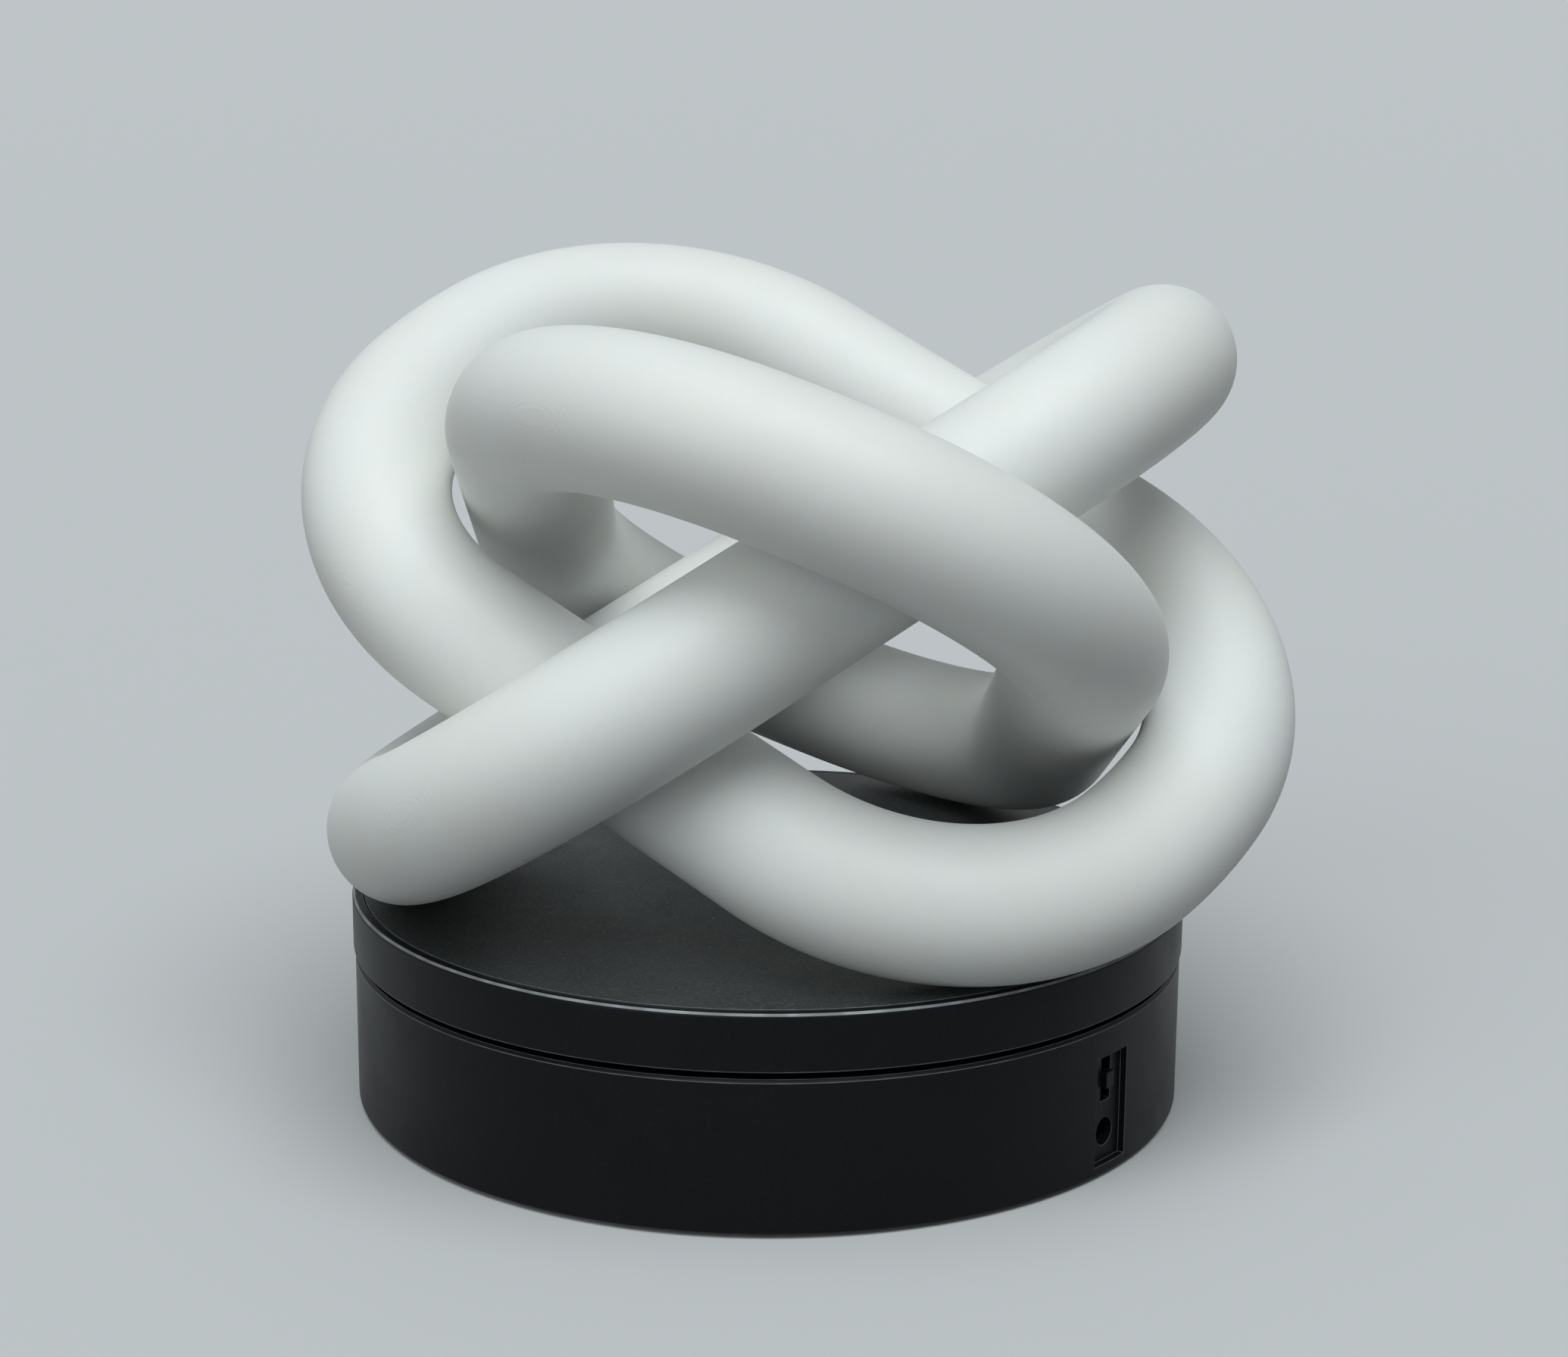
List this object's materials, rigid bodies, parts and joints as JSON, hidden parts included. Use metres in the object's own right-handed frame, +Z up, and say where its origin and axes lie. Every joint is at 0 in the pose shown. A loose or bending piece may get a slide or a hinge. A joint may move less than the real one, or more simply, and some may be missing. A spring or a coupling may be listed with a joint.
{
  "type": "interlocked ring sculpture",
  "caption": "Link of flattened round-tube rings, matte white, each threaded through the next and resting on the turning plate of a low round black display base.",
  "frame": {"origin": "on the ground under the middle of the round base, at the foot of the plate's axis of rotation", "axes": "+Z up along the plate's axis; the picture looks along +Y, so -Y is the front and +X is to the right"},
  "size_m": [0.1605, 0.1578, 0.1364],
  "materials": {
    "sintered_nylon": "matte, faintly grainy, with fine layer lines",
    "black_moulding": "satin moulded black",
    "plate_film": "smooth dark grey sheet with a soft sheen",
    "grey_moulding": "satin moulded grey",
    "white_acetal": "waxy white",
    "ground_steel": "ground",
    "plated_steel": "zinc plated",
    "screw_steel": "blackened",
    "turned_brass": "turned",
    "foot_rubber": "matte",
    "cell_sleeve": "plain sleeve",
    "circuit_board": "green resist",
    "wire_sheath": "soft sheath"
  },
  "bodies": {
    "base": {"drum_housing": "black_moulding", "bottom_cover": "black_moulding", "cover_screws": "screw_steel", "rubber_feet": "foot_rubber", "spindle_bush": "turned_brass", "gear_frame": "grey_moulding", "gear_frame_screws": "screw_steel", "gear_pins": "ground_steel", "motor_can": "plated_steel", "motor_end_cap": "grey_moulding", "motor_bracket": "plated_steel", "motor_screws": "screw_steel", "roller_pins": "ground_steel", "battery_cells": "cell_sleeve", "battery_contacts": "plated_steel", "control_board": "circuit_board", "switch_body": "black_moulding", "power_socket": "black_moulding", "socket_pin": "ground_steel", "motor_leads": "wire_sheath", "battery_leads": "wire_sheath"},
    "turntable": {"turning_plate": "black_moulding", "plate_sheet": "plate_film", "spindle": "ground_steel", "drive_gear": "white_acetal"},
    "second_stage": {"second_gear": "white_acetal"},
    "first_stage": {"first_gear": "white_acetal"},
    "motor_rotor": {"motor_shaft": "ground_steel", "motor_pinion": "turned_brass"},
    "back_roller": {"roller_back": "white_acetal"},
    "left_roller": {"roller_left": "white_acetal"},
    "right_roller": {"roller_right": "white_acetal"},
    "switch_knob": {"switch_slider": "black_moulding"},
    "battery_door": {"battery_lid": "black_moulding"},
    "ring_low_right": {"right_ring": "sintered_nylon"},
    "ring_low_back": {"back_ring": "sintered_nylon"},
    "ring_low_left": {"left_ring": "sintered_nylon"}
  },
  "joints": [
    {"name": "plate_spin", "type": "hinge", "parent": "base", "child": "turntable", "pos_m": [0, 0, 0.0304], "axis": [0, 0, 1], "continuous": true},
    {"name": "second_gear_spin", "type": "hinge", "parent": "base", "child": "second_stage", "pos_m": [-0.0108, 0.01871, 0.0135], "axis": [0, 0, 1], "continuous": true},
    {"name": "first_gear_spin", "type": "hinge", "parent": "base", "child": "first_stage", "pos_m": [-0.0311, 0.01132, 0.0171], "axis": [0, 0, 1], "continuous": true},
    {"name": "motor_spin", "type": "hinge", "parent": "base", "child": "motor_rotor", "pos_m": [-0.03828, -0.00842, 0.0171], "axis": [0, 0, 1], "continuous": true},
    {"name": "back_roller_spin", "type": "hinge", "parent": "base", "child": "back_roller", "pos_m": [0, 0.048, 0.0283], "axis": [0, 1, 0], "continuous": true},
    {"name": "left_roller_spin", "type": "hinge", "parent": "base", "child": "left_roller", "pos_m": [-0.04157, -0.024, 0.0283], "axis": [-0.866, -0.5, 0], "continuous": true},
    {"name": "right_roller_spin", "type": "hinge", "parent": "base", "child": "right_roller", "pos_m": [0.04157, -0.024, 0.0283], "axis": [0.866, -0.5, 0], "continuous": true},
    {"name": "knot_lift", "type": "slide", "parent": "turntable", "child": "ring_low_right", "axis": [0, 0, 1], "range_m": [0, 0.06]},
    {"name": "back_ring_play", "type": "slide", "parent": "ring_low_right", "child": "ring_low_back", "axis": [0, 0, 1], "range_m": [0, 0.002]},
    {"name": "left_ring_play", "type": "hinge", "parent": "ring_low_right", "child": "ring_low_left", "pos_m": [0.00252, -0.0035, 0.08487], "axis": [-0.5265, 0.1251, 0.8409], "range_deg": [0, 4]},
    {"name": "switch_slide", "type": "slide", "parent": "base", "child": "switch_knob", "axis": [0, 0, 1], "range_m": [-0.002, 0.002]},
    {"name": "battery_lid_slide", "type": "slide", "parent": "base", "child": "battery_door", "axis": [0, -1, 0], "range_m": [0, 0.005]}
  ],
  "couplings": [
    {"joint": "second_gear_spin", "follows": "plate_spin", "ratio": -5},
    {"joint": "first_gear_spin", "follows": "plate_spin", "ratio": 25},
    {"joint": "motor_spin", "follows": "plate_spin", "ratio": -150},
    {"joint": "back_roller_spin", "follows": "plate_spin", "ratio": -16},
    {"joint": "left_roller_spin", "follows": "plate_spin", "ratio": -16},
    {"joint": "right_roller_spin", "follows": "plate_spin", "ratio": -16}
  ]
}
